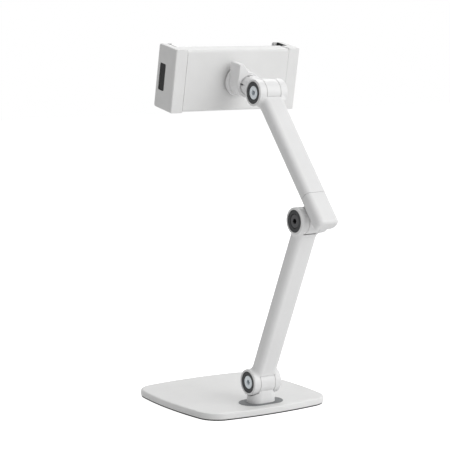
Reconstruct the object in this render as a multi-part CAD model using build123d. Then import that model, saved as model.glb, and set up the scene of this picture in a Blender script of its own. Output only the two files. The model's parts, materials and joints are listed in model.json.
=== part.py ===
from build123d import *
import math
import os

# A folding two-arm table stand with a spring-loaded clamp for a tablet or phone.
# Millimetres, +Z up, origin at the centre of the base's underside. The user sits on the -Y side
# and the arms rise behind the device. Every arm hinge lies along X.

# Base
BASE_HALF_WIDTH = 75.0
BASE_CORNER_RADIUS = 22.7
BASE_SIDE_RADIUS = 372.0
MAT_THICKNESS = 1.2
MAT_INSET = 0.8
BASE_TOP_Z = 7.4
BASE_EDGE_FILLET = 1.7

# Foot
FOOT_Y = 51.07
GASKET_LENGTH = 46.1
GASKET_WIDTH = 27.8
GASKET_THICKNESS = 0.6
FOOT_LENGTH = 28.6
FOOT_WIDTH = 19.6
FOOT_SCREW_X = 9.5
FOOT_SCREW_RADIUS = 1.95
FOOT_SCREW_HOLE_RADIUS = 2.1
FOOT_SCREW_HEAD_RADIUS = 4.2
FOOT_SCREW_HEAD_HEIGHT = 2.4
FOOT_SCREW_GRIP = 6.5

# Hinges: an outer barrel of two ears, with a knuckle between them
LOWER_HINGE_Z = 28.2
BARREL_RADIUS = 12.7
BARREL_HALF_WIDTH = 15.6
BARREL_RIM_FILLET = 0.9
LOWER_KNUCKLE_HALF = 8.0
MIDDLE_KNUCKLE_HALF = 6.7
TOP_KNUCKLE_HALF = 7.4
WASHER_THICKNESS = 0.6
FACE_GAP = 0.05
SADDLE_RADIUS = 13.4
BOLT_RADIUS = 4.0
RUNNING_FIT = 0.05
EAR_RECESS_RADIUS = 10.5
EAR_RECESS_DEPTH = 4.0
RING_HEIGHT = 3.7
RING_INNER_RADIUS = 6.7
RING_OUTER_RADIUS = 10.4
BOLT_HEAD_HEIGHT = 3.4
SOCKET_FLATS = 4.8
SOCKET_DEPTH = 4.5
NUT_FLATS = 10.5
WASHER_RADIUS = 12.3

# Arms
ARM_WIDTH = 24.0
ARM_THICKNESS = 14.0
ARM_CORNER_RADIUS = 5.6
FLARE_START = 5.0
FLARE_END = 17.0
FLARE_STEPS = 5
FLARE_WIDENING = 6.6
FLARE_THICKENING = 4.4
BARREL_BLEND_RADIUS = 5.0
LOWER_ARM_LENGTH = 179.8
LOWER_ARM_LEAN = 24.46
UPPER_ARM_LENGTH = 130.4
UPPER_ARM_LEAN = -39.36
UPPER_ARM_OFFSET = 20.72
FITTING_SEAM = 12.5
FITTING_SEAM_GAP = 0.3
FITTING_BOTTOM = -20.8
LUG_HALF_HEIGHT = 8.7
SPIGOT_LENGTH = 14.0
SPIGOT_WIDTH = 15.0
SPIGOT_THICKNESS = 8.0
SPIGOT_CORNER_RADIUS = 2.0
SPIGOT_CLEARANCE = 0.1
SET_SCREW_RADIUS = 2.0
SET_SCREW_Z = 19.5
SET_SCREW_TIP_Y = -1.0

# Head: neck, collet, clamping nut, ball and stud, measured from the holder's back face
HOLDER_LEAN = 10.89
NECK_REACH = 51.0
NECK_HALF_HEIGHT = 9.0
BALL_FROM_BACK = 12.0
BALL_RADIUS = 7.5
BALL_CLEARANCE = 0.15
COLLET_RADIUS = 9.0
COLLET_START = 4.4
COLLET_MOUTH_RADIUS = 6.6
COLLAR_START = 26.0
COLLAR_END = 37.0
COLLAR_RADIUS = 10.3
SLIT_COUNT = 5
FIRST_SLIT_ANGLE = 7.0
SLIT_WIDTH = 1.4
NUT_START = 1.8
NUT_FLANGE_END = 6.8
NUT_FLANGE_RADIUS = 14.5
NUT_END = 21.0
NUT_BODY_RADIUS = 12.5
NUT_MOUTH_RADIUS = 7.8
NUT_GROOVE_RADIUS = 9.7
NUT_GROOVE_DEPTH = 1.0
NUT_TAB_HEIGHT = 20.2
NUT_TAB_TIP_X = 7.7
STUD_RADIUS = 3.0

# Holder, in its own frame: x right, y to the back, z up, origin at the closed clamp's centre
CLOSED_HALF_WIDTH = 71.3
HOLDER_HALF_DEPTH = 15.85
JAW_HALF_HEIGHT = 30.65
HOUSING_HALF_WIDTH = 58.2
HOUSING_HALF_HEIGHT = 29.9
HOUSING_FRONT_Y = -0.7
HOUSING_WALL = 2.2
PLATE_THICKNESS = 2.0
JAW_GAP = 0.15
SEAM_FILLET = 0.4
JAW_TOP_FILLET = 0.5
JAW_WALL_INNER_X = 64.5
JAW_LIP_X = 59.6
JAW_LIP_THICKNESS = 3.2
LINER_THICKNESS = 1.1
LINER_HALF_HEIGHT = 30.6
JAW_RELIEF_Y = 3.5
JAW_RELIEF_START_Z = 27.0
PLUG_RECESS = 0.4
PLUG_CLEARANCE = 0.1
WINDOW_FRONT_Y = -11.2
WINDOW_BACK_Y = -0.75
WINDOW_HALF_HEIGHT = 13.1
WINDOW_CORNER_RADIUS = 1.6
RAIL_Y = (4.0, 6.5)
RAIL_X = (-10.0, 64.4)
RAIL_LANES = (21.0, -10.0)
RAIL_HALF_HEIGHT = 4.0
RAIL_SCREW_X = 61.4
SPRING_Y = 10.5
SPRING_Z = 18.5
SPRING_FIXED_X = -48.0
SPRING_MOVING_X = -6.0
SPRING_RADIUS = 2.0
WIRE_RADIUS = 0.35
SPRING_TURNS = 16
LOOP_RADIUS = 1.95
COVER_SCREW_X = (-50.0, -22.0, 22.0, 50.0)
COVER_SCREW_RADIUS = 1.2
COVER_SCREW_HEAD_RADIUS = 2.4
COVER_BOSS_RADIUS = 2.8
SPRING_POST_RADIUS = 1.4
RIB_X = 28.0
PAD_WIDTH = 106.0
PAD_HEIGHT = 50.0
PAD_CORNER_RADIUS = 4.0
PAD_THICKNESS = 1.0


def block(x_range, y_range, z_range):
    """A box between the two ends given along each axis."""
    size = [max(r) - min(r) for r in (x_range, y_range, z_range)]
    centre = [(max(r) + min(r)) / 2 for r in (x_range, y_range, z_range)]
    return Pos(*centre) * Box(*size)


def x_cylinder(radius, x_range, y=0.0, z=0.0):
    """A cylinder along X."""
    length = max(x_range) - min(x_range)
    return Pos(sum(x_range) / 2, y, z) * Rot(0, 90, 0) * Cylinder(radius, length)


def y_cylinder(radius, y_range, x=0.0, z=0.0):
    """A cylinder along Y."""
    length = max(y_range) - min(y_range)
    return Pos(x, sum(y_range) / 2, z) * Rot(90, 0, 0) * Cylinder(radius, length)


def z_cylinder(radius, z_range, x=0.0, y=0.0):
    """A cylinder along Z."""
    length = max(z_range) - min(z_range)
    return Pos(x, y, sum(z_range) / 2) * Cylinder(radius, length)


def save(name, frame, *solids):
    """Place the solids in the object's frame and write them as one named piece."""
    placed = [frame * piece.solid() for piece in solids]
    shape = placed[0] if len(placed) == 1 else Compound(children=placed)
    export_step(shape, f"parts/{name}.step")


# ---------------------------------------------------------------- frames

ORIGIN = Location((0, 0, 0))
LOWER_FRAME = Location((0, FOOT_Y, LOWER_HINGE_Z), (-LOWER_ARM_LEAN, 0, 0))
MIDDLE_POINT = (LOWER_FRAME * Location((0, 0, LOWER_ARM_LENGTH))).position
UPPER_FRAME = Location(MIDDLE_POINT, (-UPPER_ARM_LEAN, 0, 0))
TOP_POINT = (UPPER_FRAME * Location((0, UPPER_ARM_OFFSET, UPPER_ARM_LENGTH))).position
NECK_FRAME = Location(TOP_POINT, (-HOLDER_LEAN, 0, 0))
HEAD_FRAME = NECK_FRAME * Location((0, -NECK_REACH, 0))
HOLDER_FRAME = HEAD_FRAME * Location((0, -HOLDER_HALF_DEPTH, 0))
OTHER_SIDE = Rot(0, 180, 0)


# ---------------------------------------------------------------- base and foot


def base_outline(inset):
    """A square with softly bulged sides and round corners, all tangent arcs."""
    side_radius = BASE_SIDE_RADIUS - inset
    corner_radius = BASE_CORNER_RADIUS - inset
    shift = BASE_SIDE_RADIUS - BASE_HALF_WIDTH
    span = BASE_SIDE_RADIUS - BASE_CORNER_RADIUS
    corner = (-shift + math.sqrt(2 * span**2 - shift**2)) / 2
    tangent_x = -shift + side_radius * (corner + shift) / span
    tangent_y = side_radius * corner / span
    crown = corner + corner_radius / math.sqrt(2)
    side = ThreePointArc((tangent_x, -tangent_y), (BASE_HALF_WIDTH - inset, 0), (tangent_x, tangent_y))
    turn = ThreePointArc((tangent_x, tangent_y), (crown, crown), (tangent_y, tangent_x))
    edges = [Rot(0, 0, 90 * quarter) * arc for quarter in range(4) for arc in (side, turn)]
    return make_face(Wire(edges))


def foot_screw_places():
    return [(-FOOT_SCREW_X, FOOT_Y), (FOOT_SCREW_X, FOOT_Y)]


def make_base_plate():
    plate = Pos(0, 0, MAT_THICKNESS) * extrude(base_outline(0), BASE_TOP_Z - MAT_THICKNESS)
    rims = plate.edges().group_by(Axis.Z)
    plate = fillet(rims[-1], BASE_EDGE_FILLET)
    plate = chamfer(plate.edges().group_by(Axis.Z)[0], 0.4)
    for x, y in foot_screw_places():
        plate -= z_cylinder(FOOT_SCREW_HOLE_RADIUS, (0, BASE_TOP_Z + 1), x, y)
        sink_height = FOOT_SCREW_HEAD_HEIGHT + 0.1
        sink = Cone(FOOT_SCREW_HEAD_RADIUS + 0.2, FOOT_SCREW_HOLE_RADIUS, sink_height)
        plate -= Pos(x, y, MAT_THICKNESS + sink_height / 2) * sink
    return plate


def make_rubber_mat():
    return extrude(base_outline(MAT_INSET), MAT_THICKNESS)


def make_gasket():
    pad = Pos(0, FOOT_Y, BASE_TOP_Z) * extrude(SlotOverall(GASKET_LENGTH, GASKET_WIDTH), GASKET_THICKNESS)
    pad = fillet(pad.edges().group_by(Axis.Z)[-1], 0.35)
    for x, y in foot_screw_places():
        pad -= z_cylinder(FOOT_SCREW_HOLE_RADIUS, (BASE_TOP_Z - 1, BASE_TOP_Z + 2), x, y)
    return pad


def make_foot():
    bottom = BASE_TOP_Z + GASKET_THICKNESS
    post = Pos(0, FOOT_Y, bottom) * extrude(SlotOverall(FOOT_LENGTH, FOOT_WIDTH), LOWER_HINGE_Z - bottom)
    for side in (-1, 1):
        ends = (side * LOWER_KNUCKLE_HALF, side * (BARREL_HALF_WIDTH + 1))
        post -= x_cylinder(SADDLE_RADIUS, ends, FOOT_Y, LOWER_HINGE_Z)
    knuckle = x_cylinder(BARREL_RADIUS, (-LOWER_KNUCKLE_HALF, LOWER_KNUCKLE_HALF), FOOT_Y, LOWER_HINGE_Z)
    foot = post + knuckle
    foot -= x_cylinder(BOLT_RADIUS + RUNNING_FIT, (-20, 20), FOOT_Y, LOWER_HINGE_Z)
    for x, y in foot_screw_places():
        foot -= z_cylinder(FOOT_SCREW_RADIUS + 0.05, (bottom - 1, bottom + FOOT_SCREW_GRIP), x, y)
    return foot


def make_foot_screws():
    screws = []
    for x, y in foot_screw_places():
        head = Cone(FOOT_SCREW_HEAD_RADIUS, FOOT_SCREW_RADIUS, FOOT_SCREW_HEAD_HEIGHT)
        screw = Pos(x, y, MAT_THICKNESS + FOOT_SCREW_HEAD_HEIGHT / 2) * head
        screw += z_cylinder(FOOT_SCREW_RADIUS, (MAT_THICKNESS + 2, BASE_TOP_Z + FOOT_SCREW_GRIP), x, y)
        screws.append(screw - hexagon_recess(2.5, 1.4, (x, y, MAT_THICKNESS), (0, 0, 1)))
    return screws


# ---------------------------------------------------------------- hinge hardware


def hexagon_recess(flats, depth, point, direction):
    """A hexagonal hole that starts at a point and runs along a direction."""
    mouth = Plane(origin=point, z_dir=direction)
    return extrude(mouth * RegularPolygon(flats / 2, 6, major_radius=False), depth)


def make_hinge_bolt():
    seat = BARREL_HALF_WIDTH - EAR_RECESS_DEPTH
    face = seat + BOLT_HEAD_HEIGHT
    head = x_cylinder(RING_INNER_RADIUS - 0.25, (seat, face))
    head = fillet(head.edges().group_by(Axis.X)[-1], 0.5)
    shank = x_cylinder(BOLT_RADIUS, (-seat - BOLT_HEAD_HEIGHT + 0.4, seat + 0.5))
    return head + shank - hexagon_recess(SOCKET_FLATS, SOCKET_DEPTH, (face, 0, 0), (-1, 0, 0))


def make_hinge_nut():
    seat = -(BARREL_HALF_WIDTH - EAR_RECESS_DEPTH)
    face = Plane(origin=(seat, 0, 0), z_dir=(-1, 0, 0))
    nut = extrude(face * RegularPolygon(NUT_FLATS / 2, 6, major_radius=False), BOLT_HEAD_HEIGHT)
    return nut - x_cylinder(BOLT_RADIUS + RUNNING_FIT, (seat + 1, seat - 5))


def make_hinge_rings():
    rings = []
    for side in (-1, 1):
        seat = BARREL_HALF_WIDTH - EAR_RECESS_DEPTH
        ends = (side * seat, side * (seat + RING_HEIGHT))
        ring = x_cylinder(RING_OUTER_RADIUS, ends) - x_cylinder(RING_INNER_RADIUS, (side * 5, side * 20))
        outer_face = ring.edges().group_by(Axis.X)[-1 if side > 0 else 0]
        rings.append(fillet(outer_face, 0.5))
    return rings


def make_hinge_washers(knuckle_half):
    washers = []
    for side in (-1, 1):
        start = knuckle_half + FACE_GAP
        disc = x_cylinder(WASHER_RADIUS, (side * start, side * (start + WASHER_THICKNESS)))
        washers.append(disc - x_cylinder(BOLT_RADIUS + RUNNING_FIT, (side * 3, side * 12)))
    return washers


def save_hinge(name, frame, knuckle_half):
    """The loose pieces of one hinge: they all turn with the ears."""
    save(f"{name}_hinge_bolt", frame, make_hinge_bolt())
    save(f"{name}_hinge_nut", frame, make_hinge_nut())
    save(f"{name}_hinge_rings", frame, *make_hinge_rings())
    save(f"{name}_hinge_washers", frame, *make_hinge_washers(knuckle_half))


# ---------------------------------------------------------------- arms


def arm_section(swell, z):
    """The arm's rounded-rectangle section, grown towards the barrel as swell goes from 0 to 1."""
    width = ARM_WIDTH + FLARE_WIDENING * swell
    thickness = ARM_THICKNESS + FLARE_THICKENING * swell
    return Pos(0, 0, z) * RectangleRounded(width, thickness, ARM_CORNER_RADIUS + swell)


def make_hinge_end():
    """A barrel at the origin, with the flare that carries it into an arm running along +Z."""
    sections = []
    for step in range(FLARE_STEPS + 1):
        along = step / FLARE_STEPS
        swell = 1 - math.cos(along * math.pi / 2)
        sections.append(arm_section(swell, FLARE_END + (FLARE_START - FLARE_END) * along))
    flare = loft(sections)
    barrel = x_cylinder(BARREL_RADIUS, (-BARREL_HALF_WIDTH, BARREL_HALF_WIDTH))
    rims = barrel.edges().group_by(Axis.X)
    barrel = fillet(rims[0] + rims[-1], BARREL_RIM_FILLET)
    hinge_end = flare + barrel
    joint_edges = hinge_end.edges().filter_by(GeomType.BSPLINE)
    crease = joint_edges.filter_by_position(Axis.Z, BARREL_RADIUS / 2, BARREL_RADIUS - 0.1)
    return fillet(crease, BARREL_BLEND_RADIUS)


def make_hinge_end_cuts(knuckle_half):
    """The slot for the knuckle, the bolt's bore and the recess in each ear."""
    slot_half = knuckle_half + WASHER_THICKNESS + 2 * FACE_GAP
    cuts = x_cylinder(SADDLE_RADIUS, (-slot_half, slot_half))
    cuts += x_cylinder(BOLT_RADIUS + 0.1, (-20, 20))
    for side in (-1, 1):
        inner = BARREL_HALF_WIDTH - EAR_RECESS_DEPTH
        cuts += x_cylinder(EAR_RECESS_RADIUS, (side * inner, side * 20))
    return cuts


def make_bar(z_range, corner=ARM_CORNER_RADIUS, width=ARM_WIDTH, thickness=ARM_THICKNESS):
    """A straight stretch of arm."""
    outline = RectangleRounded(width, thickness, corner)
    return Pos(0, 0, min(z_range)) * extrude(outline, max(z_range) - min(z_range))


def make_lower_arm():
    far_end = Location((0, 0, LOWER_ARM_LENGTH), (180, 0, 0))
    arm = make_bar((FLARE_END, LOWER_ARM_LENGTH - FLARE_END))
    arm += make_hinge_end()
    arm += far_end * make_hinge_end()
    arm -= make_hinge_end_cuts(LOWER_KNUCKLE_HALF)
    arm -= far_end * make_hinge_end_cuts(MIDDLE_KNUCKLE_HALF)
    return arm


def make_spigot(z_range, growth=0.0):
    """The stub that joins the end fitting to the upper arm, or its socket when grown a little."""
    width = SPIGOT_WIDTH + 2 * growth
    thickness = SPIGOT_THICKNESS + 2 * growth
    return make_bar(z_range, SPIGOT_CORNER_RADIUS + growth, width, thickness)


def make_upper_arm():
    """Origin on the arm's centre line, level with the middle hinge."""
    far_end = Location((0, 0, UPPER_ARM_LENGTH), (180, 0, 0))
    arm = make_bar((FITTING_SEAM, UPPER_ARM_LENGTH - FLARE_END))
    arm = chamfer(arm.edges().group_by(Axis.Z)[0], 0.25)
    arm += far_end * make_hinge_end()
    arm -= far_end * make_hinge_end_cuts(TOP_KNUCKLE_HALF)
    socket_top = FITTING_SEAM + SPIGOT_LENGTH + 0.5
    arm -= make_spigot((FITTING_SEAM - 1, socket_top), SPIGOT_CLEARANCE)
    arm -= y_cylinder(SET_SCREW_RADIUS + 0.05, (-ARM_THICKNESS, 0), 0, SET_SCREW_Z)
    return arm


def make_arm_fitting():
    """The upper arm's end fitting: the lug stands off the arm so that the two arms fold side by side."""
    body = make_bar((FITTING_BOTTOM, FITTING_SEAM - FITTING_SEAM_GAP))
    body = fillet(body.edges().group_by(Axis.Z)[0], 3.2)
    body = chamfer(body.edges().group_by(Axis.Z)[-1], 0.25)
    lug_ends = (-MIDDLE_KNUCKLE_HALF, MIDDLE_KNUCKLE_HALF)
    lug = x_cylinder(BARREL_RADIUS, lug_ends, -UPPER_ARM_OFFSET)
    lug += block(lug_ends, (-UPPER_ARM_OFFSET, 0), (-LUG_HALF_HEIGHT, LUG_HALF_HEIGHT))
    fitting = body + lug
    fitting += make_spigot((FITTING_SEAM - 1, FITTING_SEAM + SPIGOT_LENGTH))
    fitting -= x_cylinder(BOLT_RADIUS + RUNNING_FIT, (-20, 20), -UPPER_ARM_OFFSET)
    fitting -= y_cylinder(SET_SCREW_RADIUS + 0.05, (-ARM_THICKNESS, SET_SCREW_TIP_Y + 0.2), 0, SET_SCREW_Z)
    return fitting


def make_set_screw():
    """A socket set screw through the arm's front wall into the spigot."""
    mouth_y = -ARM_THICKNESS / 2 + 0.4
    screw = y_cylinder(SET_SCREW_RADIUS, (mouth_y, SET_SCREW_TIP_Y), 0, SET_SCREW_Z)
    screw = chamfer(screw.edges().group_by(Axis.Y)[0], 0.3)
    return screw - hexagon_recess(2.0, 2.0, (0, mouth_y, SET_SCREW_Z), (0, 1, 0))


# ---------------------------------------------------------------- head


def make_neck():
    """Knuckle, collar and slotted ball cup. Origin at the middle of the holder's back face."""
    knuckle_ends = (-TOP_KNUCKLE_HALF, TOP_KNUCKLE_HALF)
    neck = x_cylinder(BARREL_RADIUS, knuckle_ends, NECK_REACH)
    neck += block(knuckle_ends, (COLLAR_END - 1, NECK_REACH), (-NECK_HALF_HEIGHT, NECK_HALF_HEIGHT))
    collar = y_cylinder(COLLAR_RADIUS, (COLLAR_START, COLLAR_END))
    rims = collar.edges().group_by(Axis.Y)
    neck += fillet(rims[0] + rims[-1], 0.8)
    neck += y_cylinder(COLLET_RADIUS, (COLLET_START, COLLAR_START + 1))
    neck -= x_cylinder(BOLT_RADIUS + RUNNING_FIT, (-20, 20), NECK_REACH)
    neck -= Pos(0, BALL_FROM_BACK, 0) * Rot(90, 0, 0) * Sphere(BALL_RADIUS + BALL_CLEARANCE)
    neck -= y_cylinder(COLLET_MOUTH_RADIUS, (COLLET_START - 1, BALL_FROM_BACK))
    slit_end = COLLAR_START - 1.2
    slit = block((4.0, COLLET_RADIUS + 1), (COLLET_START - 1, slit_end), (-SLIT_WIDTH / 2, SLIT_WIDTH / 2))
    for turn in range(SLIT_COUNT):
        neck -= Rot(0, -FIRST_SLIT_ANGLE - turn * 360 / SLIT_COUNT, 0) * slit
    return neck


def make_clamp_nut():
    """A flanged nut with one flat thumb tab, which squeezes the collet on the ball."""
    flange = y_cylinder(NUT_FLANGE_RADIUS, (NUT_START, NUT_FLANGE_END))
    rims = flange.edges().group_by(Axis.Y)
    flange = fillet(rims[0] + rims[-1], 0.8)
    side = NUT_BODY_RADIUS
    slope_foot = (1.0, math.sqrt(side**2 - 1.0))
    tip = ((side, NUT_TAB_HEIGHT), (NUT_TAB_TIP_X, NUT_TAB_HEIGHT))
    tab = make_face(Polyline((0, 0), (side, 0), *tip, slope_foot, close=True))
    tips = tab.vertices().group_by(Axis.Y)[-1]
    tab = fillet(tips, 1.2)
    outline = Circle(side) + tab
    body = Pos(0, NUT_FLANGE_END - 1, 0) * extrude(Plane.XZ * outline, -(NUT_END - NUT_FLANGE_END + 1))
    body = fillet(body.edges().group_by(Axis.Y)[-1], 1.0)
    nut = flange + body
    nut -= y_cylinder(COLLET_RADIUS + RUNNING_FIT, (COLLET_START - 0.2, NUT_END + 1))
    nut -= y_cylinder(NUT_GROOVE_RADIUS, (NUT_END - NUT_GROOVE_DEPTH, NUT_END + 1))
    nut -= y_cylinder(NUT_MOUTH_RADIUS, (NUT_START - 1, COLLET_START))
    return nut


def make_swivel_ball():
    ball = Pos(0, BALL_FROM_BACK, 0) * Sphere(BALL_RADIUS)
    return ball - y_cylinder(STUD_RADIUS + RUNNING_FIT, (0, BALL_FROM_BACK + 5))


def make_ball_stud():
    stud = y_cylinder(STUD_RADIUS, (-9.0, BALL_FROM_BACK + 4.8))
    stud += y_cylinder(STUD_RADIUS + 0.8, (0.05, 4.9))
    return stud + y_cylinder(6.2, (0, 1.2))


def make_ball_stud_nut():
    face = Plane(origin=(0, -HOUSING_WALL, 0), z_dir=(0, -1, 0))
    nut = extrude(face * RegularPolygon(5.0, 6, major_radius=False), 3.0)
    return nut - y_cylinder(STUD_RADIUS + RUNNING_FIT, (-10, 0))


# ---------------------------------------------------------------- holder housing


def make_housing():
    back_wall = HOLDER_HALF_DEPTH - HOUSING_WALL
    inner_x = HOUSING_HALF_WIDTH - HOUSING_WALL
    inner_z = HOUSING_HALF_HEIGHT - HOUSING_WALL
    shell = block(
        (-HOUSING_HALF_WIDTH, HOUSING_HALF_WIDTH),
        (HOUSING_FRONT_Y, HOLDER_HALF_DEPTH),
        (-HOUSING_HALF_HEIGHT, HOUSING_HALF_HEIGHT),
    )
    long_edges = shell.edges().filter_by(Axis.X).group_by(Axis.Y)[-1]
    shell = fillet(long_edges, 2.4)
    shell -= block((-inner_x, inner_x), (HOUSING_FRONT_Y - 1, back_wall), (-inner_z, inner_z))
    for x in (-RIB_X, RIB_X):
        shell += block((x - 1, x + 1), (1.5, back_wall + 0.5), (-inner_z - 0.5, inner_z + 0.5))
    for x in COVER_SCREW_X:
        shell += y_cylinder(COVER_BOSS_RADIUS, (1.4, back_wall + 0.5), x)
        shell -= y_cylinder(COVER_SCREW_RADIUS + 0.05, (0, 11), x)
    shell += y_cylinder(SPRING_POST_RADIUS, (8.0, back_wall + 0.5), SPRING_FIXED_X, SPRING_Z)
    shell += y_cylinder(SPRING_POST_RADIUS, (8.0, back_wall + 0.5), -SPRING_FIXED_X, -SPRING_Z)
    shell -= y_cylinder(STUD_RADIUS + 0.1, (10, 20))
    passages = make_rail_passages()
    return shell - passages - OTHER_SIDE * passages


def make_rail_passages():
    """Clear ways for one jaw's rails and spring through the housing's end wall and ribs."""
    lanes = []
    for z in RAIL_LANES:
        z_range = (z - RAIL_HALF_HEIGHT - 0.2, z + RAIL_HALF_HEIGHT + 0.2)
        lanes.append(block((0, HOUSING_HALF_WIDTH + 1), (RAIL_Y[0] - 0.2, RAIL_Y[1] + 0.2), z_range))
    reach = SPRING_RADIUS + WIRE_RADIUS + 0.4
    spring_lane = block((-30, 30), (RAIL_Y[1], SPRING_Y + reach), (SPRING_Z - reach, SPRING_Z + reach))
    return lanes[0] + lanes[1] + spring_lane


def make_front_plate():
    half_x = HOUSING_HALF_WIDTH - HOUSING_WALL - 0.1
    half_z = HOUSING_HALF_HEIGHT - HOUSING_WALL - 0.1
    depth = (HOUSING_FRONT_Y, HOUSING_FRONT_Y + PLATE_THICKNESS)
    plate = block((-half_x, half_x), depth, (-half_z, half_z))
    for x in COVER_SCREW_X:
        plate -= y_cylinder(COVER_SCREW_RADIUS + 0.2, (-3, 3), x)
        plate -= y_cylinder(COVER_SCREW_HEAD_RADIUS + 0.2, (-3, HOUSING_FRONT_Y + 1.1), x)
    return plate


def make_front_pad():
    outline = RectangleRounded(PAD_WIDTH, PAD_HEIGHT, PAD_CORNER_RADIUS)
    pad = Pos(0, HOUSING_FRONT_Y, 0) * extrude(Plane.XZ * outline, PAD_THICKNESS)
    return fillet(pad.edges().group_by(Axis.Y)[0], 0.4)


def make_cover_screws():
    screws = []
    for x in COVER_SCREW_X:
        head = y_cylinder(COVER_SCREW_HEAD_RADIUS, (HOUSING_FRONT_Y + 0.05, HOUSING_FRONT_Y + 1.1), x)
        shank = y_cylinder(COVER_SCREW_RADIUS, (HOUSING_FRONT_Y + 1.0, 9.0), x)
        screws.append(head + shank - hexagon_recess(1.6, 0.7, (x, HOUSING_FRONT_Y + 0.05, 0), (0, 1, 0)))
    return screws


# ---------------------------------------------------------------- jaws (the one on the +X side)


def make_jaw_body():
    """A channel: back block, outer wall with a window, and a front lip that holds the device's edge."""
    inner_x = HOUSING_HALF_WIDTH + JAW_GAP
    front = -HOLDER_HALF_DEPTH
    lip_back = front + JAW_LIP_THICKNESS
    height = (-JAW_HALF_HEIGHT, JAW_HALF_HEIGHT)
    jaw = block((inner_x, CLOSED_HALF_WIDTH), (HOUSING_FRONT_Y, HOLDER_HALF_DEPTH), height)
    jaw += block((JAW_WALL_INNER_X, CLOSED_HALF_WIDTH), (front, HOUSING_FRONT_Y), height)
    jaw += block((JAW_LIP_X, CLOSED_HALF_WIDTH), (front, lip_back), height)
    front_corners = jaw.edges().filter_by(Axis.X).group_by(Axis.Y)[0]
    jaw = fillet(front_corners, 2.6)
    outer_corners = jaw.edges().filter_by(Axis.Z).group_by(Axis.X)[-1]
    jaw = fillet(outer_corners, 1.3)
    inner_rim = jaw.faces().filter_by(Axis.X).sort_by(Axis.X)[0].edges()
    jaw = fillet(inner_rim.filter_by(Axis.Y), JAW_TOP_FILLET)
    inner_rim = jaw.faces().filter_by(Axis.X).sort_by(Axis.X)[0].edges()
    jaw = fillet(inner_rim.filter_by(Axis.Z).group_by(Axis.Y)[-1], SEAM_FILLET)
    relief_x = (inner_x - 1, JAW_WALL_INNER_X)
    relief_y = (HOUSING_FRONT_Y - 1, JAW_RELIEF_Y)
    jaw -= make_end_strips(relief_x, relief_y, JAW_RELIEF_START_Z, JAW_HALF_HEIGHT + 1)
    window = RectangleRounded(WINDOW_BACK_Y - WINDOW_FRONT_Y, 2 * WINDOW_HALF_HEIGHT, WINDOW_CORNER_RADIUS)
    middle_y = (WINDOW_BACK_Y + WINDOW_FRONT_Y) / 2
    side = Plane(origin=(JAW_WALL_INNER_X - 1, middle_y, 0), x_dir=(0, 1, 0), z_dir=(1, 0, 0))
    jaw -= extrude(side * window, 12)
    for z in RAIL_LANES:
        z_range = (z - RAIL_HALF_HEIGHT - 0.1, z + RAIL_HALF_HEIGHT + 0.1)
        jaw -= block((inner_x - 1, RAIL_X[1] + 0.1), (RAIL_Y[0] - 0.1, RAIL_Y[1] + 0.1), z_range)
        jaw -= y_cylinder(1.3, (HOUSING_FRONT_Y - 1, 9), RAIL_SCREW_X, z)
        jaw -= y_cylinder(1.9, (HOUSING_FRONT_Y - 1, HOUSING_FRONT_Y + 1.2), RAIL_SCREW_X, z)
    return jaw


def make_end_strips(x_range, y_range, start_z, end_z):
    """Two blocks, one at the top and one at the bottom of a jaw."""
    return block(x_range, y_range, (start_z, end_z)) + block(x_range, y_range, (-end_z, -start_z))


def make_jaw_liner():
    """A rubber strip on the wall's inner face, with a plug that fills most of the window."""
    face_x = JAW_WALL_INNER_X - LINER_THICKNESS
    lip_back = -HOLDER_HALF_DEPTH + JAW_LIP_THICKNESS
    strip_x = (face_x, JAW_WALL_INNER_X)
    strip_y = (lip_back + 0.1, HOUSING_FRONT_Y)
    strip = block(strip_x, strip_y, (-LINER_HALF_HEIGHT, LINER_HALF_HEIGHT))
    plug_depth = WINDOW_BACK_Y - WINDOW_FRONT_Y - 2 * PLUG_CLEARANCE
    plug_height = 2 * (WINDOW_HALF_HEIGHT - PLUG_CLEARANCE)
    plug = RectangleRounded(plug_depth, plug_height, WINDOW_CORNER_RADIUS - PLUG_CLEARANCE)
    middle_y = (WINDOW_BACK_Y + WINDOW_FRONT_Y) / 2
    side = Plane(origin=(face_x + 0.5, middle_y, 0), x_dir=(0, 1, 0), z_dir=(1, 0, 0))
    liner = strip + extrude(side * plug, CLOSED_HALF_WIDTH - PLUG_RECESS - face_x - 0.5)
    tongue_y = (HOUSING_FRONT_Y - 1, JAW_RELIEF_Y)
    return liner + make_end_strips(strip_x, tongue_y, JAW_RELIEF_START_Z + 0.1, LINER_HALF_HEIGHT)


def make_jaw_rails():
    rails = []
    for z in RAIL_LANES:
        rail = block(RAIL_X, RAIL_Y, (z - RAIL_HALF_HEIGHT, z + RAIL_HALF_HEIGHT))
        rail -= y_cylinder(1.3, (0, 10), RAIL_SCREW_X, z)
        rails.append(rail)
    rails[0] += y_cylinder(SPRING_POST_RADIUS, (RAIL_Y[0] + 1, SPRING_Y + 2), SPRING_MOVING_X, SPRING_Z)
    return rails


def make_rail_screws():
    screws = []
    for z in RAIL_LANES:
        head = y_cylinder(1.8, (HOUSING_FRONT_Y + 0.1, HOUSING_FRONT_Y + 1.2), RAIL_SCREW_X, z)
        screws.append(head + y_cylinder(1.2, (HOUSING_FRONT_Y + 1, 8), RAIL_SCREW_X, z))
    return screws


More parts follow.
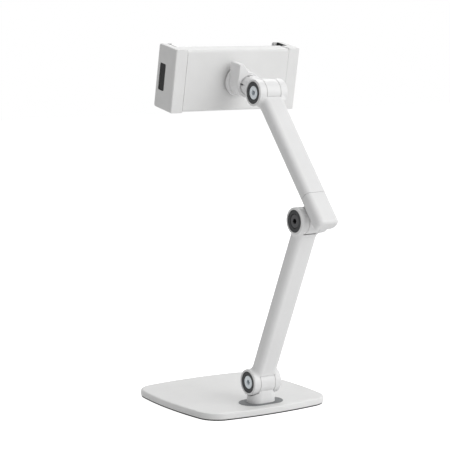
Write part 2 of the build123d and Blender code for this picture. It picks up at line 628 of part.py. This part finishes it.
def make_spring():
    """An extension spring with a loop at each end, round a post on the housing and one on the rail."""
    length = SPRING_MOVING_X - SPRING_FIXED_X - 2 * LOOP_RADIUS
    path = Helix(length / SPRING_TURNS, length, SPRING_RADIUS)
    wire = Plane(origin=path @ 0, z_dir=path % 0) * Circle(WIRE_RADIUS)
    spring = sweep(wire, path, is_frenet=True)
    for end_z, loop_z in ((0, -LOOP_RADIUS), (length, length + LOOP_RADIUS)):
        leg = Rot(0, 90, 0) * Cylinder(WIRE_RADIUS + 0.07, SPRING_RADIUS + 0.5)
        spring += Pos(SPRING_RADIUS / 2, 0, end_z) * leg
        spring += Pos(0, 0, loop_z) * Rot(90, 0, 0) * Torus(LOOP_RADIUS, WIRE_RADIUS)
    return Location((SPRING_FIXED_X + LOOP_RADIUS, SPRING_Y, SPRING_Z), (0, 90, 0)) * spring


# ---------------------------------------------------------------- write every piece


os.makedirs("parts", exist_ok=True)

save("base_plate", ORIGIN, make_base_plate())
save("rubber_mat", ORIGIN, make_rubber_mat())
save("foot_gasket", ORIGIN, make_gasket())
save("foot", ORIGIN, make_foot())
save("foot_screws", ORIGIN, *make_foot_screws())

save("lower_arm", LOWER_FRAME, make_lower_arm())
save_hinge("lower", LOWER_FRAME, LOWER_KNUCKLE_HALF)
save_hinge("middle", LOWER_FRAME * Location((0, 0, LOWER_ARM_LENGTH)), MIDDLE_KNUCKLE_HALF)

ARM_FRAME = UPPER_FRAME * Location((0, UPPER_ARM_OFFSET, 0))
save("upper_arm", ARM_FRAME, make_upper_arm())
save("upper_arm_fitting", ARM_FRAME, make_arm_fitting())
save("fitting_set_screw", ARM_FRAME, make_set_screw())
save_hinge("top", ARM_FRAME * Location((0, 0, UPPER_ARM_LENGTH)), TOP_KNUCKLE_HALF)

save("neck", HEAD_FRAME, make_neck())
save("clamp_nut", HEAD_FRAME, make_clamp_nut())
save("swivel_ball", HEAD_FRAME, make_swivel_ball())
save("ball_stud", HEAD_FRAME, make_ball_stud())
save("ball_stud_nut", HEAD_FRAME, make_ball_stud_nut())

save("holder_housing", HOLDER_FRAME, make_housing())
save("holder_front_plate", HOLDER_FRAME, make_front_plate())
save("holder_front_pad", HOLDER_FRAME, make_front_pad())
save("cover_screws", HOLDER_FRAME, *make_cover_screws())

for side_name, side_turn in (("right", ORIGIN), ("left", OTHER_SIDE)):
    side_frame = HOLDER_FRAME * side_turn
    save(f"{side_name}_jaw_body", side_frame, make_jaw_body())
    save(f"{side_name}_jaw_liner", side_frame, make_jaw_liner())
    save(f"{side_name}_jaw_rails", side_frame, *make_jaw_rails())
    save(f"{side_name}_rail_screws", side_frame, *make_rail_screws())
    save(f"{side_name}_jaw_spring", side_frame, make_spring())
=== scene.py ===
import json

import bpy
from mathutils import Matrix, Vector

# A folding two-arm table stand with a spring-jaw clamp, seen from behind and to one side.
# Metres, +Z up, the base's underside on z = 0, the user on the -Y side.

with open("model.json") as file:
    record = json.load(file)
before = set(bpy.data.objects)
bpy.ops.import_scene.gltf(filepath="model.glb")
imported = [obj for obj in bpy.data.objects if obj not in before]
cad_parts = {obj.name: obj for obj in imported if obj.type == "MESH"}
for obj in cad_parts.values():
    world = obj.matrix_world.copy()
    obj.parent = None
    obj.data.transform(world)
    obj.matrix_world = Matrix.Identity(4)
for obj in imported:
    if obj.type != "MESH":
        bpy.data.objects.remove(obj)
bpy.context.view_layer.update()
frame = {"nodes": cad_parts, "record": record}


# ---------------------------------------------------------------- camera

CAMERA_PLACE = Vector((0.8820, 1.3161, 0.3780))
CAMERA_AIM = Vector((-0.5489, -0.8262, -0.1278))
CAMERA_LENS = 130.5
SENSOR_WIDTH = 36.0
NEAREST_SEEN = 0.05
FURTHEST_SEEN = 20.0


def make_camera():
    data = bpy.data.cameras.new("camera")
    data.lens = CAMERA_LENS
    data.sensor_width = SENSOR_WIDTH
    data.clip_start = NEAREST_SEEN
    data.clip_end = FURTHEST_SEEN
    camera = bpy.data.objects.new("camera", data)
    bpy.context.scene.collection.objects.link(camera)
    camera.location = CAMERA_PLACE
    camera.rotation_mode = "QUATERNION"
    camera.rotation_quaternion = CAMERA_AIM.to_track_quat("-Z", "Y")
    bpy.context.scene.camera = camera


# ---------------------------------------------------------------- materials

# Most of a noise's values lie between these two.
NOISE_LOW = 0.3
NOISE_HIGH = 0.7

# Painted shade in the hollows of turned metal: how near the walls count, and how dark the deepest
# places get.
HOLLOW_REACH = 0.003
PAINTED_SHADE_TONE = 0.12
HOLLOW_CLOSED = 0.35
HOLLOW_OPEN = 0.8

# How far machining lines are drawn out along X.
TURNED_LINES = (0.2, 1, 1)
DRAWN_LINES = (0.03, 1, 1)


class Finish:
    """A node material: a principled shader with noise on its colour, roughness and bump."""

    def __init__(self, name, roughness=0.4, metallic=0.0, ior=1.5):
        self.material = bpy.data.materials.new(name)
        self.material.use_nodes = True
        self.nodes = self.material.node_tree.nodes
        self.links = self.material.node_tree.links
        self.shader = self.nodes["Principled BSDF"]
        self.shader.inputs["Roughness"].default_value = roughness
        self.shader.inputs["Metallic"].default_value = metallic
        self.shader.inputs["IOR"].default_value = ior
        self.place = self.nodes.new("ShaderNodeTexCoord").outputs["Object"]
        self.normal = None

    def node(self, kind, **settings):
        made = self.nodes.new(kind)
        for key, value in settings.items():
            setattr(made, key, value)
        return made

    def noise(self, scale, detail, stretch=(1, 1, 1)):
        """Noise with so many features per metre, drawn out along an axis of small stretch."""
        mapping = self.node("ShaderNodeMapping")
        mapping.inputs["Scale"].default_value = stretch
        noise = self.node("ShaderNodeTexNoise")
        noise.inputs["Scale"].default_value = scale
        noise.inputs["Detail"].default_value = detail
        self.links.new(self.place, mapping.inputs["Vector"])
        self.links.new(mapping.outputs["Vector"], noise.inputs["Vector"])
        return noise.outputs["Fac"]

    def cells(self, scale):
        """Rounded grains, so many per metre."""
        cells = self.node("ShaderNodeTexVoronoi")
        cells.inputs["Scale"].default_value = scale
        self.links.new(self.place, cells.inputs["Vector"])
        return cells.outputs["Distance"]

    def spread(self, value, low, high, start=NOISE_LOW, end=NOISE_HIGH):
        """A value carried from start..end to low..high."""
        spread = self.node("ShaderNodeMapRange")
        spread.inputs["From Min"].default_value = start
        spread.inputs["From Max"].default_value = end
        spread.inputs["To Min"].default_value = low
        spread.inputs["To Max"].default_value = high
        self.links.new(value, spread.inputs["Value"])
        return spread.outputs["Result"]

    def colour(self, value, low, high):
        """The base colour runs from low to high as a noise's value rises."""
        ramp = self.node("ShaderNodeValToRGB")
        first, last = ramp.color_ramp.elements
        first.position = NOISE_LOW
        first.color = (*low, 1)
        last.position = NOISE_HIGH
        last.color = (*high, 1)
        self.links.new(value, ramp.inputs["Fac"])
        self.links.new(ramp.outputs["Color"], self.shader.inputs["Base Color"])

    def paint_hollow_shade(self):
        """Paints shade into the hollows: multiplies the base colour down where near surfaces close
        it in.
        """
        base = self.shader.inputs["Base Color"].links[0].from_socket
        hollow = self.node("ShaderNodeAmbientOcclusion")
        hollow.inputs["Distance"].default_value = HOLLOW_REACH
        shade = self.spread(hollow.outputs["AO"], PAINTED_SHADE_TONE, 1.0, HOLLOW_CLOSED, HOLLOW_OPEN)
        mix = self.node("ShaderNodeMix", data_type="RGBA", blend_type="MULTIPLY")
        mix.inputs["Factor"].default_value = 1.0
        self.links.new(base, mix.inputs["A"])
        self.links.new(shade, mix.inputs["B"])
        self.links.new(mix.outputs["Result"], self.shader.inputs["Base Color"])

    def roughness(self, value, low, high):
        """The roughness runs from low to high as a noise's value rises."""
        self.links.new(self.spread(value, low, high), self.shader.inputs["Roughness"])

    def bump(self, value, depth, strength):
        """Adds a bump of that depth in metres on top of any earlier one."""
        bump = self.node("ShaderNodeBump")
        bump.inputs["Distance"].default_value = depth
        bump.inputs["Strength"].default_value = strength
        self.links.new(value, bump.inputs["Height"])
        if self.normal is not None:
            self.links.new(self.normal, bump.inputs["Normal"])
        self.normal = bump.outputs["Normal"]
        self.links.new(self.normal, self.shader.inputs["Normal"])


def white_coat(name, tone, roughness, grain, depth):
    """Powder coat: an even white with a faint cloudiness, orange peel and fine grain."""
    finish = Finish(name)
    low = tuple(0.965 * channel for channel in tone)
    finish.colour(finish.noise(38, 4), low, tone)
    finish.roughness(finish.noise(140, 3), roughness - 0.05, roughness + 0.06)
    finish.bump(finish.noise(grain * 0.25, 2), depth * 2, 0.25)
    finish.bump(finish.noise(grain, 2), depth, 0.4)
    return finish.material


def moulded_white(name, tone):
    """Moulded plastic with a spark-eroded grain."""
    finish = Finish(name, ior=1.46)
    low = tuple(0.97 * channel for channel in tone)
    finish.colour(finish.noise(55, 3), low, tone)
    finish.roughness(finish.noise(260, 3), 0.42, 0.54)
    finish.bump(finish.cells(2600), 0.00003, 0.35)
    finish.bump(finish.noise(900, 3), 0.00003, 0.3)
    return finish.material


def rubber(name, low, high, roughness):
    """Matt rubber or dark plastic with a fine, even grain."""
    finish = Finish(name, ior=1.45)
    finish.colour(finish.noise(650, 4), low, high)
    finish.roughness(finish.noise(500, 3), roughness - 0.08, roughness + 0.08)
    finish.bump(finish.cells(1800), 0.00005, 0.4)
    return finish.material


def turned_metal(name, low, high, roughness, stretch=(1, 1, 1), metallic=1.0, ior=1.5):
    """Metal with fine machining lines, drawn out where stretch is small, and painted shade in its
    hollows.
    """
    finish = Finish(name, metallic=metallic, ior=ior)
    lines = finish.noise(3200, 4, stretch)
    finish.colour(lines, low, high)
    # Painted shade: the base colour is darkened in recesses such as sockets.
    finish.paint_hollow_shade()
    finish.roughness(finish.noise(300, 4), roughness - 0.06, roughness + 0.1)
    finish.bump(lines, 0.00001, 0.4)
    return finish.material


def make_materials():
    """One material for each material slot of the record."""
    return {
        "base_steel": white_coat("base_coat", (0.79, 0.79, 0.785), 0.40, 1500, 0.00004),
        "white_alloy": white_coat("alloy_coat", (0.80, 0.80, 0.80), 0.36, 1900, 0.00003),
        "white_plastic": moulded_white("white_plastic", (0.78, 0.78, 0.775)),
        "rubber_black": rubber(
            "black_rubber", (0.025, 0.026, 0.027), (0.036, 0.037, 0.038), 0.62
        ),
        "rubber_grey": rubber("grey_rubber", (0.18, 0.19, 0.195), (0.22, 0.225, 0.23), 0.6),
        "ring_dark": rubber("dark_ring", (0.035, 0.037, 0.04), (0.055, 0.058, 0.06), 0.42),
        "washer_plastic": moulded_white("natural_nylon", (0.68, 0.68, 0.66)),
        "bolt_light": turned_metal(
            "light_bolt", (0.78, 0.84, 0.88), (0.86, 0.92, 0.96), 0.40, TURNED_LINES,
            metallic=0.0, ior=1.8,
        ),
        "bolt_dark": turned_metal(
            "dark_bolt", (0.10, 0.10, 0.105), (0.16, 0.16, 0.165), 0.38, TURNED_LINES,
            metallic=0.8,
        ),
        "screw_steel": turned_metal("plain_steel", (0.45, 0.45, 0.46), (0.6, 0.6, 0.61), 0.34),
        "rail_steel": turned_metal(
            "drawn_steel", (0.5, 0.5, 0.51), (0.64, 0.64, 0.65), 0.28, DRAWN_LINES
        ),
        "spring_steel": turned_metal("spring_wire", (0.42, 0.42, 0.43), (0.58, 0.58, 0.59), 0.3),
        "ball_steel": turned_metal("ball_steel", (0.56, 0.56, 0.57), (0.63, 0.63, 0.64), 0.16),
    }


def dress_cad_nodes(materials):
    """Every carried-over CAD node gets the material of its record slot."""
    for part in frame["record"]["subparts"]:
        mesh = frame["nodes"][part["node"]].data
        mesh.materials.clear()
        mesh.materials.append(materials[part["material_slot"]])


# ---------------------------------------------------------------- floor and light

FLOOR_HALF_WIDTH = 4.0
FLOOR_TOP = -0.0002
FLOOR_GLOW = 0.8
WORLD_LIGHT = 0.41
LIGHT_TARGET = Vector((0, 0.03, 0.17))
LIGHT_DISTANCE = 3.2
# Each light's direction from the target, its side in metres and its power in watts.
SOFT_LIGHTS = {
    "key": ((-0.38, 0.86, 0.45), 2.4, 52.0),
    "side": ((-0.94, 0.33, 0.15), 2.4, 14.8),
    "top": ((0.05, 0.05, 1.0), 2.8, 15.6),
    "rim": ((-0.3, -0.5, 0.8), 2.4, 42.4),
}


def make_floor():
    """A plain pale floor, which glows to the eye alone, as a white backdrop does."""
    mesh = bpy.data.meshes.new("floor")
    sides = ((-1, -1), (1, -1), (1, 1), (-1, 1))
    corners = [(x * FLOOR_HALF_WIDTH, y * FLOOR_HALF_WIDTH, FLOOR_TOP) for x, y in sides]
    mesh.from_pydata(corners, [], [(0, 1, 2, 3)])
    floor = bpy.data.objects.new("floor", mesh)
    bpy.context.scene.collection.objects.link(floor)
    finish = Finish("floor_white", roughness=0.9)
    finish.colour(finish.noise(2, 3), (0.70, 0.70, 0.70), (0.74, 0.74, 0.74))
    finish.shader.inputs["Emission Color"].default_value = (1, 1, 1, 1)
    glow = finish.node("ShaderNodeMath", operation="MULTIPLY")
    glow.inputs[1].default_value = FLOOR_GLOW
    seen = finish.node("ShaderNodeLightPath").outputs["Is Camera Ray"]
    finish.links.new(seen, glow.inputs[0])
    finish.links.new(glow.outputs["Value"], finish.shader.inputs["Emission Strength"])
    mesh.materials.append(finish.material)


def soft_light(name, direction, size, power):
    """A square area light that faces the object from that direction."""
    data = bpy.data.lights.new(name, "AREA")
    data.shape = "SQUARE"
    data.size = size
    data.energy = power
    light = bpy.data.objects.new(name, data)
    bpy.context.scene.collection.objects.link(light)
    towards = Vector(direction).normalized()
    light.location = LIGHT_TARGET + LIGHT_DISTANCE * towards
    light.rotation_mode = "QUATERNION"
    light.rotation_quaternion = (-towards).to_track_quat("-Z", "Y")


def make_light():
    """A white studio: the backdrop is brighter to the eye than the light it sheds on the object."""
    world = bpy.data.worlds.new("studio")
    bpy.context.scene.world = world
    world.use_nodes = True
    nodes = world.node_tree.nodes
    links = world.node_tree.links
    sheds = nodes["Background"]
    sheds.inputs["Color"].default_value = (1, 1, 1, 1)
    sheds.inputs["Strength"].default_value = WORLD_LIGHT
    shows = nodes.new("ShaderNodeBackground")
    shows.inputs["Color"].default_value = (1, 1, 1, 1)
    shows.inputs["Strength"].default_value = 1.0
    either = nodes.new("ShaderNodeMixShader")
    links.new(nodes.new("ShaderNodeLightPath").outputs["Is Camera Ray"], either.inputs["Fac"])
    links.new(sheds.outputs["Background"], either.inputs[1])
    links.new(shows.outputs["Background"], either.inputs[2])
    links.new(either.outputs["Shader"], nodes["World Output"].inputs["Surface"])
    for name, (direction, size, power) in SOFT_LIGHTS.items():
        soft_light(name, direction, size, power)
    bpy.context.scene.view_settings.view_transform = "Standard"


make_camera()
dress_cad_nodes(make_materials())
make_floor()
make_light()
